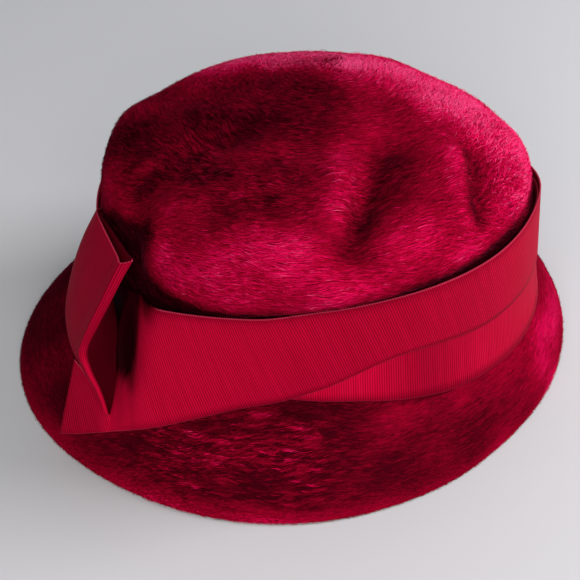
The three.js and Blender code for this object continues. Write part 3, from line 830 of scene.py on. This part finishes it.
def wrapSpots():
    turns = np.linspace(wrapValues["startTurn"], wrapValues["endTurn"], wrapValues["turnColumns"] + 1)
    foot = headPoints(turns, wrapValues["reach"], aroundAt(wrapFoot, turns))
    head = headPoints(turns, wrapValues["reach"], aroundAt(wrapTop, turns))
    places = np.linspace(0, 1, wrapValues["tailColumns"] + 1)
    tailFoot = curveThrough(np.vstack([foot[-1:], fromPattern([row["foot"] for row in tailRows])]), places)
    tailHead = curveThrough(np.vstack([head[-1:], fromPattern([row["head"] for row in tailRows])]), places)
    return between(np.vstack([foot, tailFoot[1:]]), np.vstack([head, tailHead[1:]]), wrapValues["rows"])


def wrapSheet():
    values, wrap = wrapValues, wrapSpots()
    x, z = patternX(wrap), wrap[..., 2] / mm
    pastEdge = x - (values["edgeTop"] - values["slant"] * (values["topHeight"] - z))
    rollIn = np.clip(1 - np.abs(pastEdge) / values["rollWide"], 0, 1) ** 2
    rollIn *= np.clip((z - values["rollFrom"]) / values["rollOver"], 0, 1)
    wrap[..., 1] += values["rollIn"] * mm * rollIn * onLeft(wrap)
    # painted shade in the rolled edge, on the tail's tip and a little along the side
    roll = np.clip((values["rollLit"] - pastEdge) / values["rollSoft"], 0, 1)
    roll *= np.clip((z - values["rollTip"]) / values["tipOver"], 0, 1)
    roll *= (x > values["rollSpan"][0]) & (x < values["rollSpan"][1])
    tail = values["tailPaintedShade"] * np.clip((values["tailFrom"] - x) / values["tailOver"], 0, 1)
    tail *= z < values["tailUnder"]
    side = values["sidePaintedShade"] * np.clip((x - values["sideFrom"]) / values["sideOver"], 0, 1)
    side *= np.clip((values["sideTo"] - x) / values["sideFade"], 0, 1)
    deep, lean = (roll + tail + side) * onLeft(wrap), -ribbonValues["lean"]
    return clothSheet("band_wrap_ribbon", wrap, lean, ribbonPaintedShadows, values["paintedShadeUnderCrown"], deep)


wrapRibbon, wrapRun, wrapArea = wrapSheet()
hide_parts("band_wrap")

# standing loop, from its top edge to its lower tip: each row runs from the heel at the band, along the
# outer side to the fold, and back inside to the tuck; foldHalf is half the fold's width in each row
# painted shade: its inner side is painted dark and its outer side a little, and low down its fold's crest
# gets painted light, at these shares of the way across it
bowValues = {"levels": 56, "across": 150, "foldWay": (0.84, 0.54, 0), "foldDepth": 0.4, "foldEase": 0.15,
             "foldHalf": [2.6, 2.3, 2.1, 1.9, 1.45, 1.0, 0.8, 0.6],
             "outer": 0.36, "inner": 0.48, "innerFrom": 0.7, "innerOver": 0.06,
             "paintedCrestLight": 0.7, "crestAt": 0.58, "crestWide": 0.1, "crestFrom": 0.5, "crestOver": 0.2}
bowRows = [
    {"heel": (-77, -26, 84), "side": (-74.4, -38, 91.8),
     "fold": (-47, -77, 97.3), "tuck": (-72.6, -39.6, 92.2)},
    {"heel": (-80, -28, 75), "side": (-79, -49, 82), "fold": (-49.2, -84, 93.6), "tuck": (-68, -56, 80)},
    {"heel": (-82, -31, 64), "side": (-82, -60, 70), "fold": (-53, -92, 86), "tuck": (-61, -66, 66)},
    {"heel": (-81, -36, 53), "side": (-82, -71, 59), "fold": (-57.6, -99, 77), "tuck": (-57, -74, 57)},
    {"heel": (-77, -52, 46), "side": (-76, -84, 53), "fold": (-62, -104, 66), "tuck": (-55.5, -82, 50)},
    {"heel": (-68, -82, 42), "side": (-68, -94, 48), "fold": (-60.8, -104, 55.6), "tuck": (-54, -90, 42)},
    {"heel": (-60, -95, 34), "side": (-61, -98, 37), "fold": (-57.4, -103.5, 42.3), "tuck": (-54, -96, 34)},
    {"heel": (-56, -100, 28), "side": (-56.3, -101.4, 28.4),
     "fold": (-55, -104, 29), "tuck": (-54.6, -102, 28)},
]


def unit(way):
    return way / np.linalg.norm(way)


def bowSpots(levels):
    ease = bowValues["foldEase"]
    rails = {column: curveThrough(fromPattern([row[column] for row in bowRows]), levels)
             for column in ("heel", "side", "fold", "tuck")}
    loop = []
    for i, level in enumerate(levels):
        heel, side, fold, tuck = (rails[column][i] for column in ("heel", "side", "fold", "tuck"))
        half = np.interp(level * (len(bowRows) - 1), range(len(bowRows)), bowValues["foldHalf"]) * mm
        outer, inner = unit(side - fold), unit(tuck - fold)
        across = np.array(bowValues["foldWay"]) * half
        back = unit(outer + inner) * bowValues["foldDepth"] * mm
        near, far = fold + back - across, fold + back + across
        path = [heel, side, side * ease + near * (1 - ease), near,
                fold, far, tuck * ease + far * (1 - ease), tuck]
        loop.append(curveThrough(path, np.linspace(0, 1, bowValues["across"] + 1)))
    return np.array(loop).transpose(1, 0, 2)[:, ::-1]


def bowSheet():
    values = bowValues
    levels = np.linspace(0, 1, values["levels"] + 1)
    along = np.linspace(0, 1, values["across"] + 1)[:, None]
    inner = np.clip((along - values["innerFrom"]) / values["innerOver"], 0, 1)
    paintedBowShade = values["outer"] + values["inner"] * inner + 0 * levels[None]
    paintedCrestLight = np.exp(-((along - values["crestAt"]) / values["crestWide"]) ** 2)
    lowDown = np.clip((levels[None] - values["crestFrom"]) / values["crestOver"], 0, 1)
    paintedBowShade -= values["paintedCrestLight"] * paintedCrestLight * lowDown
    return clothSheet("bow_loop_ribbon", bowSpots(levels), 0, [], 0, paintedBowShade[:, ::-1])


bowRibbon, _, bowArea = bowSheet()
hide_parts("bow_loop")
print("ribbons made:", round(wrapRun, 3), round(wrapArea, 4), round(bowArea, 4))


# metres: a pale floor that reaches three metres to each side, under a soft sky
stageValues = {"floor": "a2a5a8", "floorSize": 3, "sky": "eceef2", "skyStrength": 0.35}
bm = bmesh.new()
bmesh.ops.create_grid(bm, x_segments=1, y_segments=1, size=stageValues["floorSize"])
floorMesh = bpy.data.meshes.new("floor")
bm.to_mesh(floorMesh)
bm.free()
floor = bpy.data.objects.new("floor", floorMesh)
scene.collection.objects.link(floor)
floorMaterial, tree, output = newMaterial("pale_painted_floor")
paint = addNode(tree, "ShaderNodeBsdfPrincipled", {}, {
    "Base Color": linearColour(stageValues["floor"]), "Roughness": 0.8})
tree.links.new(paint.outputs["BSDF"], output.inputs["Surface"])
floorMesh.materials.append(floorMaterial)

world = bpy.data.worlds.new("studio")
scene.world = world
world.use_nodes = True
sky = world.node_tree.nodes["Background"]
sky.inputs["Color"].default_value = linearColour(stageValues["sky"])
sky.inputs["Strength"].default_value = stageValues["skyStrength"]

lights = [
    {"name": "key", "place": (0.28, -1.02, 0.6), "size": 0.8, "watts": 18, "colour": "fff6f2"},
    {"name": "rim", "place": (0.85, 0.3, 0.7), "size": 0.5, "watts": 15.5, "colour": "fff8fa"},
    {"name": "top", "place": (0.0, 0.6, 1.1), "size": 1.0, "watts": 4, "colour": "ffffff"},
]
lightsAim = (0.01, 0, 0.06)
for light in lights:
    lamp = bpy.data.lights.new(light["name"], "AREA")
    lamp.size = light["size"]
    lamp.energy = light["watts"]
    lamp.color = linearColour(light["colour"])[:3]
    holder = bpy.data.objects.new(light["name"], lamp)
    aim = Vector(lightsAim) - Vector(light["place"])
    facing = aim.to_track_quat("-Z", "Y").to_matrix().to_4x4()
    holder.matrix_world = Matrix.Translation(light["place"]) @ facing
    scene.collection.objects.link(holder)

# metres, degrees and the lens in mm
cameraValues = {"place": (0.1882, -0.6572, 0.6004), "down": 40, "swing": 16, "roll": -3.3, "lens": 114.64}
down, swing, roll = (math.radians(cameraValues[key]) for key in ("down", "swing", "roll"))
sight = Vector((-math.sin(swing) * math.cos(down), math.cos(swing) * math.cos(down), -math.sin(down)))
right = Vector((math.cos(swing), math.sin(swing), 0))
up = right.cross(sight)
right, up = right * math.cos(roll) + up * math.sin(roll), up * math.cos(roll) - right * math.sin(roll)
turned = Matrix((right, up, -sight)).transposed().to_4x4()
cameraData = bpy.data.cameras.new("camera")
cameraData.lens = cameraValues["lens"]
camera = bpy.data.objects.new("camera", cameraData)
camera.matrix_world = Matrix.Translation(cameraValues["place"]) @ turned
scene.collection.objects.link(camera)
scene.camera = camera
print("stage set")
